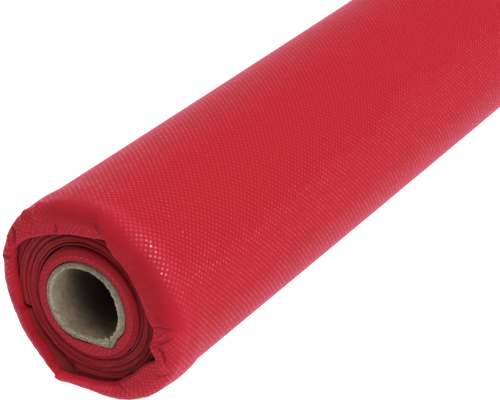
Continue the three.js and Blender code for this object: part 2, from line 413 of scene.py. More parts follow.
# Folds: height, side that is lifted (1 towards larger angles), edge softness, reach, points. The first
# one is the flap at the upper right. Before its start, a fold's edge spreads out and is lost.
FLAP = 0
FOLD_SPREAD = 1.2
FOLDS = [
    (2.0, -1, 0.24, 16, [(46.6, 77.4), (45.0, 74.2), (43.2, 69.9), (41.0, 64.8)]),
    (1.2, 1, 0.4, 11, [(51.2, 245.4), (49.4, 246.0), (46.6, 247.0), (45.4, 247.8)]),
    (0.6, 1, 0.4, 6, [(39.2, 3.6), (43.4, 4.4), (45.7, 3.8), (47.6, 3.3)]),
    (1.1, -1, 0.3, 5, [(41.3, 347.8), (42.8, 347.0), (44.6, 345.7), (45.7, 342.5), (47.3, 338.9)]),
    (0.8, -1, 0.4, 8, [(49.6, 168.4), (46.8, 163.8), (42.2, 159.2)]),
]
# Reach of the painted shade beside a fold, and the width below which a crease is sharp enough for painted
# shade
CREASE_SHADE = 1.1
SHARP_CREASE = 2.0
GATHER_HEIGHT = 0.14
GATHER_WAVES = (23, 37, 58)


def on_front(radius, degrees):
    """Point of the rim's front or bend at a radius and an angle"""
    step = int(round(degrees * CLOTH_STEPS / 360)) % CLOTH_STEPS
    reach = np.clip((radius - bend_radius[step] + shoulder[step]) / shoulder[step], 0, 1)
    depth = rim_front + shoulder[step] * (1 - math.sqrt(1 - reach ** 2))
    return place(depth, radius, degrees)


def along_line(points, line):
    """Distance of each point to a line, its share of the way along it, how far it lies to the side of
    larger angles, and how far before the start of the line"""
    corners = np.array([on_front(radius, degrees) for radius, degrees in line])
    lengths = np.linalg.norm(np.diff(corners, axis=0), axis=1)
    starts = np.concatenate([[0], np.cumsum(lengths)[:-1]])
    best = np.full(points.shape[:-1], 1e9)
    share = np.zeros(points.shape[:-1])
    sideways = np.zeros(points.shape[:-1])
    for start, end, length, before in zip(corners, corners[1:], lengths, starts):
        way = (end - start) / length
        t = np.clip((points - start) @ way, 0, length)
        away = points - start - t[..., None] * way
        distance = np.linalg.norm(away, axis=-1)
        middle = (start + end) / 2
        round_axis = np.array([-middle[2], 0, middle[0]])
        across = round_axis - (round_axis @ way) * way
        across /= np.linalg.norm(across)
        nearer = distance < best
        best = np.where(nearer, distance, best)
        share = np.where(nearer, (before + t) / lengths.sum(), share)
        sideways = np.where(nearer, away @ across, sideways)
    onwards = (corners[1] - corners[0]) / lengths[0]
    before_start = np.maximum(0, (corners[0] - points) @ onwards)
    return best, share, sideways, before_start


def surface_normals(grid):
    """Unit normals of a grid of rings"""
    along = np.gradient(grid, axis=0)
    turning = np.roll(grid, -1, axis=1) - np.roll(grid, 1, axis=1)
    normal = np.cross(turning, along)
    return normal / np.linalg.norm(normal, axis=-1, keepdims=True)


print("soft creases:", len(SOFT_CREASES), "folds:", len(FOLDS))

# %% [markdown]
# Each crease and fold adds its height to the points near its line, and sharp troughs and the low side of
# each fold also get painted shade. Small seeded waves on top are the gathers. This could be sculpted by
# hand, but heights that are added along the normal keep every crease one row of a table, which is easy
# to read and to change.

# %% Press the creases into the rim
outer = np.isin(kinds, ["side", "bend", "lip"])
points = cloth[outer]
height = np.zeros(points.shape[:-1])
on_rim = smoothstep(ring_depth[outer], 14, 4)
# How much painted shade each point gets from sharp troughs and from the low side of folds
crease = np.zeros(points.shape[:-1])
for lift, width, line in SOFT_CREASES:
    distance, share, _, _ = along_line(points, line)
    taper = smoothstep(share, -0.02, 0.2) * (1 - 0.6 * smoothstep(share, 0.75, 1.0))
    profile = np.exp(-(distance / width) ** 2) * taper
    height += lift * profile
    if width < SHARP_CREASE:
        crease = np.maximum(crease, -lift * profile)
for number, (lift, raised, softness, reach, line) in enumerate(FOLDS):
    distance, _, sideways, before_start = along_line(points, line)
    beside = sideways * raised
    spread = softness + FOLD_SPREAD * before_start
    height += lift * smoothstep(beside, -spread, spread) * (1 - smoothstep(distance, 0, reach))
    in_shade = smoothstep(beside, softness, -softness) * np.exp(-(distance / CREASE_SHADE) ** 2)
    crease = np.maximum(crease, 0.6 * lift * in_shade)
    if number == FLAP:
        left_of_flap = smoothstep(beside, 0.2, -0.6)
phases = np.random.default_rng(5).uniform(0, 2 * math.pi, (len(GATHER_WAVES), 2))
for waves, (phase, slant) in zip(GATHER_WAVES, phases):
    ripple = np.sin(waves * np.radians(angles) + phase + 0.16 * ring_radius[outer] * math.sin(slant))
    height += GATHER_HEIGHT / len(GATHER_WAVES) * ripple
height *= on_rim
crease = np.clip(crease, 0, 1) * on_rim
print(f"creases reach from {height.min():.2f} to {height.max():.2f} mm")

# %% [markdown]
# The side is nearly smooth. A faint ring stands out 27.5 mm from the end, where the outer turns start to
# bend, and long shallow hollows run along the roll, where the cloth was wound a little slack.

# %% Hollows along the side
RING_DEPTH = 27.5
RING_HEIGHT = 0.2
# Columns: angle, height, half width in degrees
HOLLOWS = [(4, -0.32, 6), (30, 0.12, 9), (100, -0.15, 7), (352, 0.16, 5), (128, 0.1, 8)]

side_depth = ring_depth[outer]
on_side = smoothstep(side_depth, 10, 40)
in_sector = smoothstep(angles, 12, 24) * smoothstep(angles, 70, 55)
height += RING_HEIGHT * np.exp(-((side_depth - RING_DEPTH) / 0.8) ** 2) * in_sector
for middle, lift, half_width in HOLLOWS:
    away = (angles - middle + 180 + 1.2 * np.sin(side_depth / 60)) % 360 - 180
    strength = 0.75 + 0.25 * np.sin(side_depth / 75 + middle)
    height += lift * np.exp(-(away / half_width) ** 2) * strength * on_side
cloth[outer] += height[..., None] * surface_normals(cloth)[outer]

# %% [markdown]
# The roll rests on a narrow flat strip, as the solid does, and nothing of it reaches below the floor.

# %% Rest the roll on its flat strip
lowest = -axis_height / MM
under_side = (ring_depth > SWELL_LENGTH / 2) & np.isin(kinds, ["side", "far"])[:, None]
strip = (np.abs(angles - 270) <= FLAT_HALF_ANGLE) & under_side & (ring_radius > roll_radius - 0.6)
cloth[..., 2] = np.where(strip, lowest, np.maximum(cloth[..., 2], lowest))
print("points on the flat strip:", int(strip.sum()))

# %% [markdown]
# ## The emboss needs its own map
# The cloth is bonded at small dots, which lie in a square lattice turned by 45 degrees, 2.25 mm apart.
# They must follow the cloth round the bend, so the shell gets a UV map in metres along the cloth and
# round it. A second measure, kept as an attribute, says where the dots show: the stretched cloth at the
# upper right of the rim is smooth, and so are the rolled shoulder of the collar and the lip. Three more
# say where painted shade darkens the cloth inside the opening, where painted shade darkens creases, folds,
# the stretched cloth and the bore, and where painted light brightens the lower lip.

# %% Measure the cloth, and say where its dots show
# Columns: angle, depth below which the stretched cloth shows no dots
SMOOTH_BORDER = [
    (0, 5.4),
    (12, 3.0),
    (25, 1.2),
    (36, 0.6),
    (50, -0.4),
    (60, 0.4),
    (70, 2.7),
    (75, 3.8),
    (81, 3.9),
    (92, 5.4),
    (99, 6.8),
    (110, 6.0),
    (352, 6.0),
]
# Columns: angle, width of the smooth strip along the lip
LIP_STRIP = [
    (0, 0.8),
    (75, 0.8),
    (100, 1.1),
    (140, 0.8),
    (160, 0.8),
    (180, 0.9),
    (196, 1.0),
    (202, 2.4),
    (212, 2.2),
    (222, 1.5),
    (230, 2.0),
    (240, 2.2),
    (250, 3.2),
    (262, 6.0),
    (276, 5.4),
    (286, 2.6),
    (300, 1.4),
    (330, 0.9),
]
DOTTED_LIP = 6.2
CELLS_ROUND = 101
COLLAR_CELLS = 48
# How much painted shade the stretched smooth cloth gets
STRETCH_SHADE = 0.12
# Stretches round the axis, as before: where the lower lip gets painted light, as though it were one layer
# of cloth that lets light through, and where the collar's shoulder shows dots
LIP_LIGHT_STRETCH = (268, 19, 27)
LIP_LIGHT_WIDTH = 4.4
DOTTED_SHOULDER = (180, 25, 50)

steps_along = np.linalg.norm(np.diff(cloth, axis=0), axis=-1)
along = np.concatenate([np.zeros((1, CLOTH_STEPS)), np.cumsum(steps_along, axis=0)])
first_bend = int(np.argmax(kinds == "bend"))
along -= along[first_bend] + ring_depth[first_bend]
collar_start = int(np.argmax(kinds == "wall"))
along[collar_start:] -= along[collar_start]

border = around(SMOOTH_BORDER, 1, CLOTH_STEPS, ease=3)
signed = (angles + 180) % 360 - 180
sector = smoothstep(signed, -3, 2.5) * smoothstep(signed, 122, 104)
stretched = smoothstep(ring_depth, border + 2.8, border - 1.4) * sector * 0.95
from_lip = ring_radius - lip
on_lip = smoothstep(from_lip[outer], DOTTED_LIP + 1, DOTTED_LIP - 1) * left_of_flap
strip_width = around(LIP_STRIP, 1, CLOTH_STEPS, ease=2)
dots = np.zeros_like(ring_depth)
dots[outer] = 1 - stretched[outer] * (1 - on_lip)
dots[outer] *= smoothstep(from_lip, 0.5 * strip_width, strip_width)[outer]
dots[kinds == "collar"] = 0.85
on_wall = kinds == "wall"
dots[on_wall] = facing(*DOTTED_SHOULDER) * smoothstep(ring_depth[on_wall], 3.0, 1.8)
# Painted shade: how much the cloth under the rim, in the recess, at the lip's edge, on the collar and on its
# shoulder is darkened.
inside = np.isin(kinds, ["under", "recess"])[:, None] * np.ones(CLOTH_STEPS)
inside[kinds == "edge"] = [[0.0], [0.3], [0.7]]
inside[kinds == "collar"] = 0.3
inside[kinds == "wall"] = 0.4
# Painted shade: darker in creases, beside folds, on the stretched smooth cloth and all through the cloth's
# bore.
painted_shade_amount = np.zeros_like(ring_depth)
painted_shade_amount[outer] = np.maximum(crease, STRETCH_SHADE * stretched[outer] * (1 - on_lip))
painted_shade_amount[kinds == "bore"] = 1
# Painted light: along the lower lip the cloth is brightened.
thin = np.zeros_like(ring_depth)
thin[outer] = smoothstep(from_lip[outer], LIP_LIGHT_WIDTH, 0.3 * LIP_LIGHT_WIDTH) * facing(*LIP_LIGHT_STRETCH)
girth = np.where(np.arange(len(rings)) < collar_start, roll_radius, roll_radius * COLLAR_CELLS / CELLS_ROUND)
print(f"dots show on {dots[outer].mean():.0%} of the outer rings")

# %% [markdown]
# The rings become one closed shell: each face joins two steps of two neighbouring rings, and the last
# ring meets the first. Spin could turn an even outline into a roll, but this one is uneven all round, so
# the mesh is made from its points. The same function makes the core.

# %% Make the shell of cloth
def set_values(layer, field, values):
    layer.foreach_set(field, np.ascontiguousarray(values, np.float32).ravel())


def ring_shell(name, grid, along=None, girth=None, attributes=()):
    """A closed shell from rings of points in millimetres, with a UV map in metres if it has an along"""
    rows, steps = grid.shape[:2]
    row, step = np.meshgrid(np.arange(rows), np.arange(steps), indexing="ij")
    next_row, next_step = (row + 1) % rows, step + 1
    faces = [(row, step), (row, next_step), (next_row, next_step), (next_row, step)]
    index = np.stack([r * steps + s % steps for r, s in faces], axis=-1).reshape(-1, 4)
    points = grid * MM + np.array([0, near_face, axis_height])
    mesh = bpy.data.meshes.new(name)
    mesh.from_pydata(points.reshape(-1, 3), [], index.tolist())
    if along is not None:
        around_cloth = [s * 2 * math.pi * girth[r] / steps for r, s in faces]
        along_cloth = [along[r, s % steps] for r, s in faces]
        uv = np.stack([np.stack(along_cloth, -1), np.stack(around_cloth, -1)], -1) * MM
        set_values(mesh.uv_layers.new(name="cloth").data, "uv", uv)
    for label, values in attributes:
        set_values(mesh.attributes.new(label, "FLOAT", "POINT").data, "value", values)
    mesh.shade_smooth()
    piece = bpy.data.objects.new(name, mesh)
    bpy.context.scene.collection.objects.link(piece)
    print(f"{name}: {2 * len(index)} triangles")
    return piece


shades = [("dots", dots), ("inside", inside), ("crease", painted_shade_amount), ("thin", thin)]
fleece_shell = ring_shell("fleece_shell", cloth, along, girth, shades)

# %% [markdown]
# ## The cardboard core
# The core is a tube of wound board. Its rim was cut with a saw, so it is rough, and its lower edge was
# pushed in and pinched. The solid has that shape in broad steps. Here the rim gets its fuzz and its
# ragged inner edge by small seeded moves of the points, which is quicker than sculpting.

# %% Make the core tube
CORE_STEPS = 360
CORE_WALL = 3.0
RIM_ROUGHNESS = 0.16

core_angles = step_angles(CORE_STEPS)
seeded = np.random.default_rng(11)


def ragged(rows, reach):
    """Seeded unevenness, eased over a few steps round the tube"""
    rough = seeded.normal(0, 1, (rows, CORE_STEPS))
    weights = np.hanning(2 * reach + 3)[1:-1]
    spectrum = np.fft.rfft(np.roll(np.pad(weights, (0, CORE_STEPS - len(weights))), -reach))
    eased = np.fft.irfft(np.fft.rfft(rough, axis=1) * spectrum, CORE_STEPS, axis=1)
    return eased / eased.std()


def core_wall(depth):
    outer_face = core_radius + mouth_offset(1, depth, CORE_STEPS)
    return outer_face, core_radius - CORE_WALL + mouth_offset(2, depth, CORE_STEPS)


core_rings = []
outward = [far_depth, 600, 300, 100, 38, 26, 18, 12, 7, 4, 2.4, 1.5, 0.9, 0.5]
for depth in outward:
    core_rings.append((depth + np.zeros(CORE_STEPS), core_wall(depth)[0]))
outer_face, inner_face = core_wall(0)
for share, depth in [(0.015, 0.22), (0.05, 0.08), *((s, 0.02) for s in np.linspace(0.12, 0.88, 10))]:
    core_rings.append((depth + np.zeros(CORE_STEPS), outer_face + (inner_face - outer_face) * share))
core_rings.append((0.1 + np.zeros(CORE_STEPS), outer_face + (inner_face - outer_face) * 0.96))
inward = [0.35, 0.7, 1.1, 1.6, 2.2, 3, 4, 5.5, 7.5, 10, 13, 17, 22, 28, 38, 60, 120, 300, 600, far_depth]
for depth in inward:
    core_rings.append((depth + np.zeros(CORE_STEPS), core_wall(depth)[1]))
core_depth = np.array([depth for depth, _ in core_rings])
core_ring_radius = np.array([radius for _, radius in core_rings])
on_rim_face = smoothstep(core_depth, 1.2, 0.3)
frayed = 0.6 + 0.9 * smoothstep(np.cos(np.radians(core_angles - 275)), 0.3, 0.95)
frayed += 0.5 * smoothstep(np.cos(np.radians(core_angles - 40)), 0.6, 0.95)
core_depth += RIM_ROUGHNESS * np.abs(ragged(len(core_rings), 2)) * on_rim_face * frayed
inner_rows = core_ring_radius < (outer_face + inner_face) / 2
near_edge = inner_rows * smoothstep(core_depth, 4, 0)
core_ring_radius += near_edge * frayed * (0.16 * ragged(1, 2) + 0.14 * ragged(len(core_rings), 1))
across_rim = np.clip((outer_face - core_ring_radius) / (outer_face - inner_face), 0, 1)
core_points = place(core_depth, core_ring_radius, core_angles)
core_shell = ring_shell("core_shell", core_points, attributes=[("rim", across_rim)])

# %% [markdown]
# ## Sums with sockets
# A material is a graph of nodes, and a long formula makes a long graph. The small class below wraps a
# socket, so that a formula can be typed as in Python and adds its own Math nodes. It works in material
# trees and in Geometry Nodes, because both know the same Math node.

# %% A socket that can be used in sums
class Wire:
    """A socket of a node tree that takes part in sums as a number does"""

    def __init__(self, tree, socket):
        self.tree = tree
        self.socket = socket

    @classmethod
    def node(cls, tree, kind, settings=None, values=None, output=0):
        """Adds a node. Its settings are set first, then the values or wires of its sockets."""
        made = tree.nodes.new(kind)
        for name, value in (settings or {}).items():
            if name == "stops":
                cls.set_stops(made.color_ramp, value)
            elif name == "curve":
                cls.set_curve(made, value)
            else:
                setattr(made, name, value)
        for name, value in (values or {}).items():
            if isinstance(value, Wire):
                tree.links.new(value.socket, made.inputs[name])
            else:
                made.inputs[name].default_value = value
        return cls(tree, made.outputs[output])

    @staticmethod
    def set_stops(ramp, stops):
        while len(ramp.elements) < len(stops):
            ramp.elements.new(1)
        for element, (position, colour) in zip(ramp.elements, stops):
            element.position = position
            element.color = (*colour, 1)

    @staticmethod
    def set_curve(node, points):
        curve = node.mapping.curves[0]
        while len(curve.points) < len(points):
            curve.points.new(0.5, 0.5)
        for point, place_on_curve in zip(curve.points, points):
            point.location = place_on_curve
            point.handle_type = "VECTOR"
        node.mapping.update()

    def math(self, operation, *others):
        values = dict(enumerate([self, *others]))
        return Wire.node(self.tree, "ShaderNodeMath", {"operation": operation}, values)

    def reflected(self, operation, other):
        return Wire.node(self.tree, "ShaderNodeMath", {"operation": operation}, {0: other, 1: self})

    def __add__(self, other):
        return self.math("ADD", other)

    def __sub__(self, other):
        return self.math("SUBTRACT", other)

    def __rsub__(self, other):
        return self.reflected("SUBTRACT", other)

    def __mul__(self, other):
        return self.math("MULTIPLY", other)

    def __truediv__(self, other):
        return self.math("DIVIDE", other)

    def __pow__(self, other):
        return self.math("POWER", other)

    __radd__ = __add__
    __rmul__ = __mul__

    def fade(self, low, high):
        """0 at low and 1 at high, softly. Low may be the larger of the two."""
        values = {"Value": self, "From Min": low, "From Max": high}
        settings = {"interpolation_type": "SMOOTHSTEP"}
        return Wire.node(self.tree, "ShaderNodeMapRange", settings, values)

    def mix(self, first, second):
        """First colour where this is 0, and the second where it is 1"""
        values = {0: self, 6: first, 7: second}
        return Wire.node(self.tree, "ShaderNodeMix", {"data_type": "RGBA"}, values, output=2)

    def part(self, axis):
        """One of a vector's three numbers"""
        return Wire.node(self.tree, "ShaderNodeSeparateXYZ", values={0: self}, output=axis)


print("a wire knows:", [name for name in vars(Wire) if not name.startswith("_")])

# %% [markdown]
# All the finishes start alike: a shader with its constant numbers, noise in Object coordinates for
# fibres and unevenness, and a bump. A few small functions hold that, so that each material stays short.

# %% Start a material
def start_material(name, **finish):
    """A material with its shader's constant finish set, its tree, and its Object coordinates"""
    material = bpy.data.materials.new(name)
    material.use_nodes = True
    tree = material.node_tree
    shader = tree.nodes["Principled BSDF"]
    for label, value in finish.items():
        shader.inputs[label.replace("_", " ")].default_value = value
    here = Wire.node(tree, "ShaderNodeTexCoord", output="Object")
    return material, tree, shader, here


def noise(place_wire, scale, detail=3.0, roughness=0.55, output="Fac"):
    """Noise with a cell of one over scale metres"""
    values = {"Vector": place_wire, "Scale": scale, "Detail": detail, "Roughness": roughness}
    return Wire.node(place_wire.tree, "ShaderNodeTexNoise", None, values, output)


def connect(tree, shader, **wires):
    for label, wire in wires.items():
        tree.links.new(wire.socket, shader.inputs[label.replace("_", " ")])


def bump(height, distance, strength=1.0):
    """Normal from a height between 0 and 1 that stands for a distance in metres"""
    values = {"Height": height, "Distance": distance, "Strength": strength}
    return Wire.node(height.tree, "ShaderNodeBump", None, values)


def attribute(tree, label):
    """A measure that the piece keeps at its points"""
    return Wire.node(tree, "ShaderNodeAttribute", {"attribute_name": label}, output="Fac")


def vector(tree, x, y, z):
    return Wire.node(tree, "ShaderNodeCombineXYZ", None, {0: x, 1: y, 2: z})


print("the functions for materials are ready")

# %% [markdown]
# ## The embossed cloth
# Each bonding dot is a spot where heat has fused the fibres, so it is flatter, glossier and a little
# lighter than the matt fibres round it. The lattice is worked out from the UV map: with a = u + v and
# b = u - v, each counted in cells, the dots are where a and b are both whole numbers. White noise on
# those whole numbers gives each dot a gloss and a slight lean of its own, and that makes the scattered
# glints.

# %% Material of the embossed cloth
CELL_ROUND = 2 * math.pi * roll_radius * MM / CELLS_ROUND
CELL_ALONG = 3.154 * MM
DOT_DEPTH = 0.13 * MM
DOT_TILT = 5.0

fleece_cloth, tree, shader, here = start_material(
    "embossed fleece",
    Sheen_Weight=0.37,
    Sheen_Roughness=0.28,
    Sheen_Tint=(1.0, 0.31, 0.52, 1),
    Specular_IOR_Level=0.1,
    Coat_Roughness=0.25,
    Coat_IOR=1.8,
)
uv = Wire.node(tree, "ShaderNodeUVMap", {"uv_map": "cloth"})
shown = attribute(tree, "dots")
wander = noise(here, 90, 2.0)
u = uv.part(0) / CELL_ALONG + (wander - 0.5) * 0.22
v = uv.part(1) / CELL_ROUND + (noise(here, 70, 2.0) - 0.5) * 0.22
a, b = u + v, u - v
dot_a, dot_b = a.math("ROUND"), b.math("ROUND")
off_a, off_b = a - dot_a, b - dot_b
from_dot = (off_a * off_a + off_b * off_b) ** 0.5
dot_place = vector(tree, dot_a, dot_b, 0.5)


def of_each_dot(output):
    """White noise that stays the same all over one dot"""
    settings = {"noise_dimensions": "3D"}
    return Wire.node(tree, "ShaderNodeTexWhiteNoise", settings, {"Vector": dot_place}, output)


own = of_each_dot("Value")
dot = from_dot.fade(0.34, 0.17) * shown * (0.55 + 0.45 * own)
valley = from_dot.fade(0.36, 0.62) * shown
fibres = noise(here, 2600, 3.0, 0.7)
tone = noise(here, 22, 3.0)
depth_here = here.part(1) - near_face
# Painted light: near the end's front the cloth is mixed towards a pinker red, in place of a cooler light on
# the rim.
rim_light_share = depth_here.fade(0.016, 0.003) * (0.25 + 0.75 * shown)
matt = (0.5 + (tone - 0.5) * 0.9).mix((0.309, 0.0062, 0.0122, 1), (0.356, 0.0092, 0.0172, 1))
with_painted_rim_light = (rim_light_share * 0.85).mix(matt, (0.372, 0.0145, 0.0300, 1))
# Painted light: a bright red along the lower lip, as though light came through one layer of cloth.
lip_light_share = attribute(tree, "thin")
with_painted_lip_light = (lip_light_share * 0.75).mix(with_painted_rim_light, (0.64, 0.025, 0.052, 1))
# Painted shade: inside the opening and on the collar the cloth is mixed towards a dark brown red.
inside_shade_share = attribute(tree, "inside")
under = inside_shade_share.mix(with_painted_lip_light, (0.200, 0.0185, 0.0185, 1))
deep = (valley * 0.3).mix(under, (0.24, 0.0030, 0.0080, 1))
colour = (dot * 0.24).mix(deep, (0.66, 0.044, 0.074, 1))
speckled = (fibres.fade(0.35, 0.75) * 0.14).mix(colour, (0.52, 0.022, 0.042, 1))
# Painted shade: creases, folds, the stretched cloth and the bore are mixed towards a dark red.
painted_shade_share = attribute(tree, "crease")
shaded = (painted_shade_share * 0.6).mix(speckled, (0.10, 0.0080, 0.0080, 1))
roughness = 0.78 - dot * (0.2 + 0.2 * own) + (fibres - 0.5) * 0.16
lean = of_each_dot("Color")
leaning = off_a * (lean.part(0) - 0.5) + off_b * (lean.part(1) - 0.5)
tilt = leaning * from_dot.fade(0.36, 0.24) * shown * DOT_TILT
relief = bump((1 - dot) * 0.8 + fibres * 0.22 + tilt, DOT_DEPTH)
turned_in = depth_here.fade(0.003, -0.0005)
upper_right = here.part(0).fade(0.006, 0.018) * (here.part(2) - axis_height).fade(0.010, 0.024)
near_bend = depth_here.fade(0.060, 0.030)
drawn_tight = upper_right * (0.4 + 0.6 * near_bend) * (1 - turned_in * 0.75)
gloss = from_dot.fade(0.32, 0.15) * (shown ** 0.5) * (0.2 + 0.8 * own * own) * drawn_tight
connect(tree, shader, Base_Color=shaded, Roughness=roughness, Normal=relief, Coat_Weight=gloss)
fleece_shell.data.materials.append(fleece_cloth)
print("embossed fleece:", len(tree.nodes), "nodes")

# %% [markdown]
# ## The edges of the turns
# Inside the rim the cloth ends in about fifty turns, each 0.35 mm thick. They are one strip, so
# they are one spiral. Geometry Nodes suit this: a spiral curve carries a narrow section with a pointed
# front, and every point is then moved by its radius and angle. The groups of turns stand at their own
# depths, with a dark gap between two groups, and the lower ones wander a little from side to side.

# %% Geometry Nodes tree of the turns
def named_inputs(tree, inputs):
    """Adds the tree's inputs, and gives back a wire for each"""
    socket_types = {float: "NodeSocketFloat", int: "NodeSocketInt", None: "NodeSocketMaterial"}
    for name, value in inputs.items():
        kind = socket_types[type(value) if value else None]
        socket = tree.interface.new_socket(name, in_out="INPUT", socket_type=kind)
        if value:
            socket.default_value = value
    tree.interface.new_socket("Geometry", in_out="OUTPUT", socket_type="NodeSocketGeometry")
    source = tree.nodes.new("NodeGroupInput")
    return {name: Wire(tree, source.outputs[name]) for name in inputs}


def turns_tree(name, depth_curve):
    """Edges of wound turns, with their depth as a curve over the share of the way outwards"""
    tree = bpy.data.node_groups.new(name, "GeometryNodeTree")
    size = named_inputs(tree, {
        "Turns": 45.0, "Steps": 200, "Inner Radius": 0.03, "Outer Radius": 0.047, "Thickness": 0.00034,
        "Depth Scale": 0.01, "Sink": 0.001, "Rise": 0.001, "Wander": 0.0003, "Roughness": 0.0002,
        "Face": 0.1, "Axis Height": 0.05, "Facing": 1.0, "Seed": 1, "Material": None,
    })
    spiral = Wire.node(tree, "GeometryNodeCurveSpiral", None, {
        "Resolution": size["Steps"], "Rotations": size["Turns"], "Start Radius": size["Inner Radius"],
        "End Radius": size["Outer Radius"], "Height": 0.0,
    })
    upright = Wire.node(tree, "GeometryNodeSetCurveNormal", {"mode": "Z_UP"}, {"Curve": spiral})
    half = size["Thickness"] * 0.5
    # Corners of a turn's section: sideways in half thicknesses, and in metres from its tip to its back
    corners = [(0, -0.00025), (-1, 0), (0, 0.0035), (1, 0)]
    points = {}
    for number, (side, from_tip) in enumerate(corners, 1):
        points[f"Point {number}"] = vector(tree, half * side, from_tip, 0)
    section = Wire.node(tree, "GeometryNodeCurvePrimitiveQuadrilateral", {"mode": "POINTS"}, points)
    strip = Wire.node(tree, "GeometryNodeCurveToMesh", None, {
        "Curve": upright, "Profile Curve": section, "Fill Caps": True,
    })

    where = Wire.node(tree, "GeometryNodeInputPosition")
    x, y, front = where.part(0), where.part(1), where.part(2)
    radius = (x * x + y * y) ** 0.5
    width = size["Outer Radius"] - size["Inner Radius"]
    share = (radius - size["Inner Radius"]) / width
    depth = Wire.node(tree, "ShaderNodeFloatCurve", {"curve": depth_curve}, {"Value": share})

    def soft_noise(turning, outwards, shift):
        """Noise from -0.5 to 0.5 that changes slowly round the axis and quickly from turn to turn"""
        layer = radius * outwards + size["Seed"] * 7.3 + shift
        cell = vector(tree, x / radius * turning, y / radius * turning, layer)
        return noise(cell, 1.0, 1.0) - 0.5

    lower = (y / radius).fade(0.1, -0.7)
    stray = soft_noise(5.0, 260, 0.0) * size["Wander"] * (0.25 + lower)
    depth = depth * size["Depth Scale"] + soft_noise(1.8, 2400, 3.1) * size["Roughness"] * 2
    middle = math.radians(WALL_ANGLE)
    towards = (x * math.cos(middle) + y * math.sin(middle)) / radius
    behind_wall = towards.fade(math.cos(math.radians(WALL_OUTER)), math.cos(math.radians(WALL_INNER)))
    depth = depth + behind_wall * share.fade(0.36, 0.46) * size["Sink"]
    at_left = (x / radius).fade(-0.70, -0.92) * (1 - behind_wall)
    depth = depth - at_left * share.fade(0.35, 0.6) * size["Rise"]
    grown = 1 + stray / radius
    moved = vector(
        tree,
        x * grown,
        size["Face"] + size["Facing"] * (depth - front),
        size["Axis Height"] + size["Facing"] * y * grown,
    )
    set_place = Wire.node(tree, "GeometryNodeSetPosition", None, {"Geometry": strip, "Position": moved})
    return finish_tree(tree, set_place, size["Material"])


def finish_tree(tree, geometry, material):
    """Ends a tree in plain faces with their material"""
    plain = Wire.node(tree, "GeometryNodeRealizeInstances", None, {"Geometry": geometry})
    dressed = Wire.node(tree, "GeometryNodeSetMaterial", None, {"Geometry": plain, "Material": material})
    sink = tree.nodes.new("NodeGroupOutput")
    tree.links.new(dressed.socket, sink.inputs["Geometry"])
    return tree


def grow(name, tree, **inputs):
    """Runs a tree once and keeps its result as a plain mesh"""
    piece = bpy.data.objects.new(name, bpy.data.meshes.new(name))
    bpy.context.scene.collection.objects.link(piece)
    modifier = piece.modifiers.new("grow", "NODES")
    modifier.node_group = tree
    sockets = {item.name: item.identifier for item in tree.interface.items_tree if item.in_out == "INPUT"}
    for label, value in inputs.items():
        modifier[sockets[label.replace("_", " ")]] = value
    bpy.context.view_layer.update()
    evaluated = piece.evaluated_get(bpy.context.evaluated_depsgraph_get())
    mesh = bpy.data.meshes.new_from_object(evaluated)
    piece.modifiers.remove(modifier)
    piece.data = mesh
    mesh.name = name
    mesh.shade_smooth()
    triangles = sum(len(face.vertices) - 2 for face in mesh.polygons)
    print(f"{name}: {triangles} triangles")
    return piece


# %% [markdown]
# The cut edges look darker than the side, because light gets lost between the turns. Their material is
# the same red fibre, deeper in tone, with fine streaks where single fibres stick out of the edge.

# %% Material of the cut edges
cut_edges, tree, shader, here = start_material(
    "cut edges of fleece",
    Sheen_Weight=0.14,
    Sheen_Roughness=0.4,
    Sheen_Tint=(1.0, 0.4, 0.5, 1),
    Specular_IOR_Level=0.15,
)
fuzz = noise(here, 1900, 3.0, 0.7)
patches = noise(here, 130, 3.0)
edge_red = (patches.fade(0.3, 0.7) * 0.8).mix((0.262, 0.0160, 0.0220, 1), (0.360, 0.0240, 0.0300, 1))
edge_colour = (fuzz.fade(0.5, 0.8) * 0.3).mix(edge_red, (0.52, 0.05, 0.07, 1))
connect(tree, shader, Base_Color=edge_colour, Roughness=0.7 + fuzz * 0.25, Normal=bump(fuzz, 0.12 * MM))
print("cut edges:", len(tree.nodes), "nodes")

# %% [markdown]
# The edges show at both ends. At the near end they lie in groups, because the turns slipped a little
# against each other, and at the far end they are cut off square. A table for each end gives the depths,
# and one tree grows both, so only their numbers differ.

# %% Make the turns at both ends
# Columns: radius, depth of the turns' edges. Each deep stretch is a gap between two groups of turns.
NEAR_GROUPS = [
    (28.9, 3.6), (29.2, 3.0), (29.5, 3.2), (29.75, 5.4), (30.2, 5.4), (30.5, 3.6), (31.0, 2.9),
    (31.4, 2.8), (31.6, 3.7), (31.8, 3.0), (32.9, 2.7), (33.2, 3.2), (33.45, 5.2), (33.8, 5.2),
    (34.1, 3.6), (34.6, 3.0), (35.3, 2.9), (35.7, 3.4), (35.95, 5.0), (36.6, 5.2), (36.9, 4.2),
    (37.4, 3.5), (38.2, 3.4), (38.4, 4.2), (38.6, 3.6), (39.5, 3.5), (39.75, 4.2), (39.95, 5.4),
    (40.3, 5.4), (40.6, 4.3), (41.8, 4.2), (42.1, 5.0), (42.4, 4.4), (45.0, 5.4), (47.3, 7.0),
]
FAR_GROUPS = [(22.7, 0.2), (27.0, 0.1), (33.0, 0.25), (39.0, 0.12), (45.0, 0.3), (50.1, 0.2)]
DEPTH_SCALE = 10


def as_shares(groups):
    """A table of radius and depth as a curve between 0 and 1"""
    inner, outer = groups[0][0], groups[-1][0]
    return [((radius - inner) / (outer - inner), depth / DEPTH_SCALE) for radius, depth in groups]


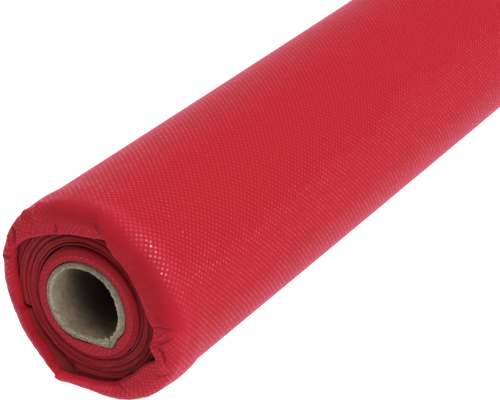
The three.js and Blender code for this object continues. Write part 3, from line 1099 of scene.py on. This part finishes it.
def wound_ends(name, groups, face, facing, turns, steps, **more):
    return grow(
        name,
        turns_tree(name, as_shares(groups)),
        Turns=float(turns),
        Steps=steps,
        Inner_Radius=groups[0][0] * MM,
        Outer_Radius=groups[-1][0] * MM,
        Depth_Scale=DEPTH_SCALE * MM,
        Face=face,
        Axis_Height=axis_height,
        Facing=facing,
        Material=cut_edges,
        **more,
    )


near_turns = wound_ends(
    "near_turns", NEAR_GROUPS, near_face, facing=1.0, turns=48, steps=210,
    Sink=2.4 * MM, Rise=0.7 * MM, Wander=1.3 * MM, Roughness=0.45 * MM, Thickness=0.34 * MM, Seed=3,
)
far_turns = wound_ends(
    "far_turns", FAR_GROUPS, core_high.y, facing=-1.0, turns=76, steps=140,
    Sink=0.0, Rise=0.0, Wander=0.1 * MM, Roughness=0.3 * MM, Thickness=0.3 * MM, Seed=8,
)

# %% [markdown]
# ## The board
# Board is grey-brown paper in several plies. The cut rim is rougher than the bore, and lighter than it
# partly because the bore gets painted shade, which deepens with the distance from either end. A spiral
# line shows where plies meet. Noise at several scales gives the pulp, its blotches and its specks, and the
# attribute across the rim tells the outer ply from the inner edge. The rim's face gets darker towards its
# top.

# %% Material of the board
PLY_PITCH = 0.058

board, tree, shader, here = start_material("wound board", Specular_IOR_Level=0.2)
pulp = noise(here, 1500, 4.0, 0.7)
blotch = noise(here, 160, 3.0)
right, height_here = here.part(0), here.part(2) - axis_height
spiral_place = here.part(1) / PLY_PITCH + height_here.math("ARCTAN2", right) / (2 * math.pi)
ply_line = (spiral_place.math("FRACT") - 0.5).math("ABSOLUTE").fade(0.018, 0.004)
speck = noise(here, 330, 2.0).fade(0.69, 0.75)
mottle = noise(here, 420, 3.0)
uneven = (blotch * 0.5 + mottle * 0.5).fade(0.36, 0.64)
grey_brown = uneven.mix((0.215, 0.164, 0.108, 1), (0.345, 0.278, 0.196, 1))
rim = attribute(tree, "rim")
uneven_rim = rim + (mottle - 0.5) * 0.5 + (blotch - 0.5) * 0.5
from_near = here.part(1) - near_face
at_mouth = from_near.fade(0.0014, 0.0006)
outer_ply = uneven_rim.fade(0.68, 0.45) * at_mouth
inner_edge = uneven_rim.fade(0.58, 0.72) * from_near.fade(0.0028, 0.0006)
# The rim's face gets darker towards its top.
top_of_rim = height_here.fade(0.008, 0.020) * at_mouth
with_outer_ply = (outer_ply * 0.8).mix(grey_brown, (0.178, 0.150, 0.104, 1))
with_inner_edge = (inner_edge * 0.6).mix(with_outer_ply, (0.39, 0.325, 0.235, 1))
with_pulp = (pulp.fade(0.38, 0.70) * 0.5).mix(with_inner_edge, (0.42, 0.36, 0.27, 1))
pits = noise(here, 620, 3.0).fade(0.50, 0.64) * at_mouth
darker_at_top = (top_of_rim * 0.45).mix(with_pulp, (0.105, 0.082, 0.058, 1))
with_pits = (pits * 0.55).mix(darker_at_top, (0.09, 0.072, 0.05, 1))
with_lines = (ply_line * 0.15).mix(with_pits, (0.16, 0.12, 0.08, 1))
with_specks = (speck * 0.85).mix(with_lines, (0.05, 0.038, 0.025, 1))
# Painted shade: the board darkens towards a dark brown with depth into the bore from either end.
from_end = from_near.math("MINIMUM", core_high.y - here.part(1))
into_bore = from_end.fade(0.003, 0.026)
painted_bore_shade = (into_bore * 0.88).mix(with_specks, (0.062, 0.052, 0.042, 1))
board_relief = bump(pulp * 0.8 + blotch * 0.2, 0.22 * MM)
connect(tree, shader, Base_Color=painted_bore_shade, Roughness=0.85 + pulp * 0.12, Normal=board_relief)
core_shell.data.materials.append(board)
print("board:", len(tree.nodes), "nodes")

# %% [markdown]
# Where the board was pushed in below, loose pulp fibres stand up from its rim. Hair curves could make
# them too, but mesh strands keep their shape in every export. They are short and bent, all alike, and
# Geometry Nodes set them out at random places along that stretch, with a fixed seed.

# %% Make the frayed pulp
FRAY_FROM, FRAY_TO = 272, 311
FRAY_INNER, FRAY_OUTER = 16.7, 17.9
FRAY_SLOPE = 2.9


def random_between(tree, low, high, seed):
    values = {2: low, 3: high, "Seed": seed}
    return Wire.node(tree, "FunctionNodeRandomValue", {"data_type": "FLOAT"}, values, output=1)


def fray_tree():
    tree = bpy.data.node_groups.new("frayed_pulp", "GeometryNodeTree")
    size = named_inputs(tree, {
        "Count": 210, "From": math.radians(FRAY_FROM), "To": math.radians(FRAY_TO),
        "Inner Radius": FRAY_INNER * MM, "Outer Radius": FRAY_OUTER * MM, "Strand Length": 1.8 * MM,
        "Strand Radius": 0.095 * MM, "Slope": FRAY_SLOPE * MM, "Face": 0.1, "Axis Height": 0.05, "Seed": 4,
        "Material": None,
    })

    def pick(low, high, shift):
        return random_between(tree, low, high, size["Seed"] + shift)

    turn = pick(size["From"], size["To"], 0.0)
    radius = pick(size["Inner Radius"], size["Outer Radius"], 1.0) + (turn - size["From"]) * size["Slope"]
    start = vector(
        tree,
        radius * turn.math("COSINE"),
        size["Face"] - pick(0.0, 0.25 * MM, 2.0),
        size["Axis Height"] + radius * turn.math("SINE"),
    )
    points = Wire.node(tree, "GeometryNodePoints", None, {"Count": size["Count"], "Position": start})
    length = size["Strand Length"]
    bend = Wire.node(tree, "GeometryNodeCurveQuadraticBezier", None, {
        "Resolution": 5,
        "Start": (0, 0, 0),
        "Middle": vector(tree, length * 0.55, length * -0.25, length * 0.6),
        "End": vector(tree, length * 0.7, length * -0.1, length * -0.2),
    })
    section = Wire.node(tree, "GeometryNodeCurvePrimitiveCircle", {"mode": "RADIUS"}, {
        "Resolution": 4, "Radius": size["Strand Radius"],
    })
    strand = Wire.node(tree, "GeometryNodeCurveToMesh", None, {
        "Curve": bend, "Profile Curve": section, "Fill Caps": True,
    })
    lean = vector(tree, pick(-0.35, 0.2, 3.0), pick(0.0, 2 * math.pi, 4.0), pick(-0.35, 0.25, 5.0))
    strands = Wire.node(tree, "GeometryNodeInstanceOnPoints", None, {
        "Points": points, "Instance": strand, "Rotation": lean, "Scale": pick(0.4, 1.2, 6.0),
    })
    return finish_tree(tree, strands, size["Material"])


loose_pulp, tree, shader, here = start_material("loose pulp", Specular_IOR_Level=0.2)
thread = noise(here, 900, 3.0)
pale_pulp = thread.fade(0.3, 0.7).mix((0.34, 0.29, 0.21, 1), (0.56, 0.50, 0.40, 1))
connect(tree, shader, Base_Color=pale_pulp, Roughness=0.85 + thread * 0.1)
frayed_pulp = grow("frayed_pulp", fray_tree(), Face=near_face, Axis_Height=axis_height, Material=loose_pulp)

# %% [markdown]
# ## Join the pieces to the solids
# Every piece rides on the roll's one body, and the solid that it stands for is hidden.

# %% Ride on the body
STANDS_FOR = [
    (fleece_shell, "fleece_roll", "fleece"),
    (near_turns, "fleece_roll", "fleece"),
    (far_turns, "fleece_roll", "fleece"),
    (core_shell, "core_tube", "board"),
    (frayed_pulp, "core_tube", "board"),
]
for piece, node, finish in STANDS_FOR:
    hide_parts(node)
    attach(piece, "root")
print("pieces:", [piece.name for piece, _, _ in STANDS_FOR])

# %% [markdown]
# ## Stage
# The roll lies on a plain pale floor under broad soft light, so that its shadow is faint. The floor is
# bright enough to read as white.

# %% Floor and world
FLOOR_SIZE = 14.0
WORLD_STRENGTH = 0.28
FLOOR_GLOW = 0.92

bpy.ops.mesh.primitive_plane_add(size=FLOOR_SIZE, location=(0, 0, -0.0001))
floor = bpy.context.object
floor.name = "floor"
pale, tree, shader, here = start_material(
    "pale floor",
    Specular_IOR_Level=0.1,
    Emission_Color=(1, 1, 1, 1),
    Emission_Strength=FLOOR_GLOW,
)
paper = noise(here, 3.0, 2.0)
shade = paper.mix((0.36, 0.36, 0.36, 1), (0.40, 0.40, 0.40, 1))
connect(tree, shader, Base_Color=shade, Roughness=0.9 + paper * 0.05)
floor.data.materials.append(pale)

world = bpy.data.worlds.new("soft room")
world.use_nodes = True
world.node_tree.nodes["Background"].inputs["Color"].default_value = (1.0, 0.985, 0.975, 1)
world.node_tree.nodes["Background"].inputs["Strength"].default_value = WORLD_STRENGTH
bpy.context.scene.world = world
bpy.context.scene.view_settings.view_transform = "Standard"
print("floor and world are ready")

# %% [markdown]
# Large soft lights give no hard shadows: the key from above on the left, and the fill from the right. A
# weak one behind on the left brings out the pink along the upper left edge. A long narrow one stands
# where the swell behind the rim mirrors it towards the camera, and brings out the scattered glints. Each
# is placed by its direction from the near end, so its angle on the cloth is easy to read.

# %% Lights
NEAR_END = Vector((0, near_face, axis_height))
# Columns: name, direction from the near end, distance, long side's direction, length, width, power, colour
LIGHTS = [
    ("key", (-0.5, 0.2, 0.9), 3.0, (1, 0, 0), 2.4, 2.4, 58, (1.0, 0.98, 0.98)),
    ("fill", (0.9, -0.32, 0.6), 3.0, (0, 1, 0), 2.0, 2.0, 49, (1.0, 0.98, 0.97)),
    ("back", (-0.7, 0.6, 0.3), 3.0, (0, 0, 1), 1.6, 1.6, 19, (1.0, 0.97, 0.98)),
    ("glint", (0.62, 0.28, 0.735), 2.6, (0.77, 0, -0.6), 1.5, 0.48, 39, (1.0, 0.98, 0.96)),
]
for name, direction, distance, long_side, length, width, power, colour in LIGHTS:
    lamp = bpy.data.lights.new(name, "AREA")
    lamp.shape = "ELLIPSE"
    lamp.size = length
    lamp.size_y = width
    lamp.energy = power
    lamp.color = colour
    lamp_object = bpy.data.objects.new(name, lamp)
    outwards = Vector(direction).normalized()
    short_side = outwards.cross(Vector(long_side)).normalized()
    axes = Matrix((short_side.cross(outwards), short_side, outwards)).transposed()
    lamp_object.location = NEAR_END + outwards * distance
    lamp_object.rotation_euler = axes.to_euler()
    bpy.context.scene.collection.objects.link(lamp_object)
print("lights:", [row[0] for row in LIGHTS])

# %% [markdown]
# ## Camera
# The camera looks down on the near end from the right, close enough for the roll to taper into the
# distance. Its place was solved from the core's rim and the roll's two straight edges.

# %% Camera
CAMERA_PLACE = (0.460587, -1.105127, 0.494573)
CAMERA_ELEVATION = 27.162
CAMERA_AZIMUTH = 31.460
CAMERA_LENS = 137.315

camera_data = bpy.data.cameras.new("camera")
camera_data.sensor_width = 36
camera_data.lens = CAMERA_LENS
camera = bpy.data.objects.new("camera", camera_data)
camera.location = CAMERA_PLACE
camera.rotation_euler = (math.radians(90 - CAMERA_ELEVATION), 0, math.radians(CAMERA_AZIMUTH))
bpy.context.scene.collection.objects.link(camera)
bpy.context.scene.camera = camera
print("camera looks from", CAMERA_PLACE)

# %% [markdown]
